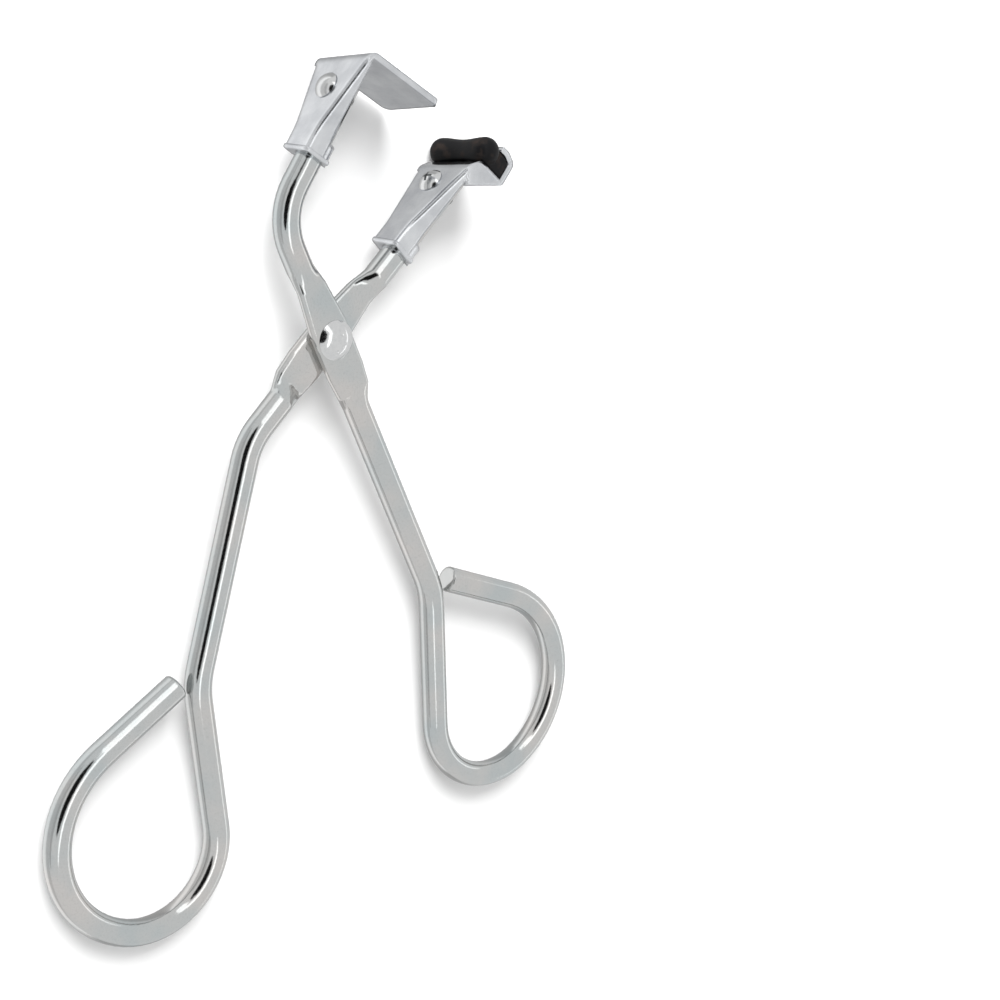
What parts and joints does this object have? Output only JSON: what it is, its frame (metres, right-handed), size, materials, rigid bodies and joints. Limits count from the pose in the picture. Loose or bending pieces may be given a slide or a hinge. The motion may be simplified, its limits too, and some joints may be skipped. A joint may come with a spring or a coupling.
{
  "type": "crucible tongs",
  "caption": "Scissor tongs bent from round plated wire, with finger loops, a folded support plate on one jaw and a rubber roller pad in a trough on the other.",
  "frame": {"origin": "bottom centre of the box of the tongs lying on their side, half open as stored", "axes": "+Z along the pivot axis, towards the rivet's domed head; +Y from the finger loops to the jaws; +X towards the loop of the plate arm"},
  "size_m": [0.1442, 0.1902, 0.0189],
  "materials": {
    "wire_plating": "bright nickel plate over drawn steel wire",
    "sheet_plating": "bright plate over stamped sheet, slightly satin on the flats",
    "rivet_plating": "bright plate, lightly marked by the rivet set",
    "pad_rubber": "black moulded rubber, low sheen"
  },
  "bodies": {
    "pad_side": {"pad_arm": "wire_plating", "pad_bracket": "sheet_plating", "pad_screw": "rivet_plating", "rubber_pad": "pad_rubber", "pivot_rivet": "rivet_plating"},
    "plate_side": {"plate_arm": "wire_plating", "plate_bracket": "sheet_plating", "plate_rivet": "rivet_plating"}
  },
  "joints": [
    {"name": "pivot", "type": "hinge", "parent": "pad_side", "child": "plate_side", "pos_m": [-0.00275, 0.03417, 0.00947], "axis": [0, 0, 1], "range_deg": [-15.6, 25]}
  ]
}
